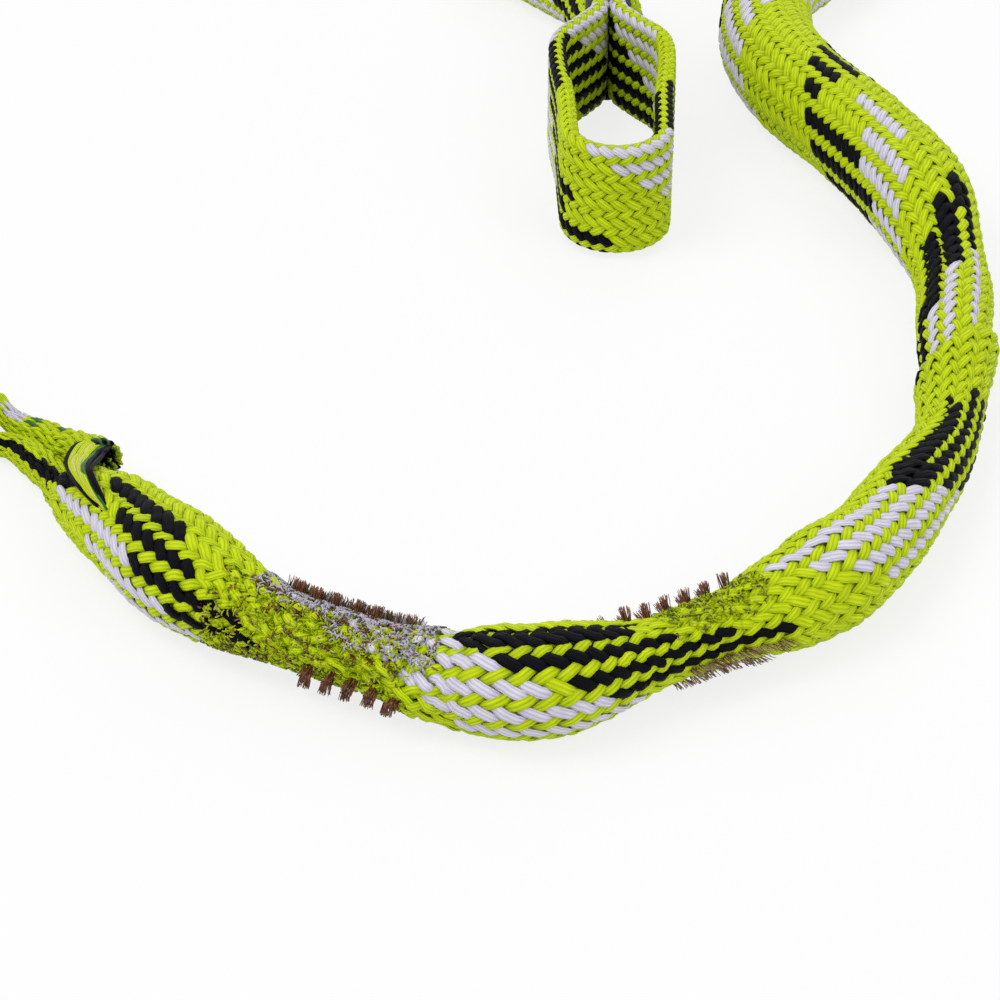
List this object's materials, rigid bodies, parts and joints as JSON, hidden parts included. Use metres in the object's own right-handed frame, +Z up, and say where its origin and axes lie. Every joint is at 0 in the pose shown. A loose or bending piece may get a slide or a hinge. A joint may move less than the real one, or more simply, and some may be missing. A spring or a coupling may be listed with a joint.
{
  "type": "bore cleaning rope",
  "caption": "Pull-through bore cleaning rope: braided sleeve with bristle sections, front eye with weighted pull cord, and flat tail loop.",
  "frame": {"origin": "centre of the laid-out rope's footprint, on the surface it lies on; the pull cord is left out", "axes": "+Z up from the surface, +Y from the front floss section towards the rear bend, +X towards the waist"},
  "size_m": [0.2592, 0.3677, 0.0272],
  "materials": {
    "braid": "braided filament with black and white flecks",
    "filler": "soft yarn in the shade of the sleeve",
    "load_cord": "braided cord",
    "bronze": "drawn wire",
    "whipping": "wound strands",
    "thread": "wound thread",
    "pull_cord": "braided cord",
    "tie": "woven strap",
    "brass": "turned"
  },
  "bodies": {
    "middle_part": {"middle_sleeve": "braid", "middle_filler": "filler", "middle_load_cord": "load_cord", "brush_2_bristles": "bronze"},
    "front_part": {"front_sleeve": "braid", "front_filler": "filler", "front_load_cord": "load_cord", "brush_1_bristles": "bronze"},
    "eye_part": {"neck_sleeve": "braid", "neck_filler": "filler", "front_eye": "braid", "splice_whipping": "whipping"},
    "pull_cord_part": {"pull_cord_loop": "pull_cord", "cord_seizing": "thread", "pull_cord": "pull_cord", "pull_cord_coil": "pull_cord", "pull_cord_tail": "pull_cord", "coil_tie": "tie", "brass_weight": "brass"},
    "rear_part": {"rear_sleeve": "braid", "rear_filler": "filler", "rear_load_cord": "load_cord"},
    "tail_part": {"tail_neck": "braid", "tail_loop": "braid", "tail_whipping": "thread"}
  },
  "joints": [
    {"name": "brush_neck_bend", "type": "hinge", "parent": "middle_part", "child": "front_part", "pos_m": [-0.009, -0.1716, 0.0088], "axis": [0, 0, 1], "range_deg": [-15, 25]},
    {"name": "eye_neck_bend", "type": "hinge", "parent": "front_part", "child": "eye_part", "pos_m": [-0.064, -0.1295, 0.009], "axis": [0, 0, 1], "range_deg": [-15, 25]},
    {"name": "pull_cord_swing", "type": "hinge", "parent": "eye_part", "child": "pull_cord_part", "pos_m": [-0.097, -0.0865, 0.0056], "axis": [0, 0, 1], "range_deg": [-25, 25]},
    {"name": "waist_bend", "type": "hinge", "parent": "middle_part", "child": "rear_part", "pos_m": [0.086, -0.094, 0.0063], "axis": [0, 0, 1], "range_deg": [-25, 12]},
    {"name": "tail_loop_bend", "type": "hinge", "parent": "rear_part", "child": "tail_part", "pos_m": [0.026, 0.07, 0.0102], "axis": [0, 0, 1], "range_deg": [-25, 16]}
  ]
}
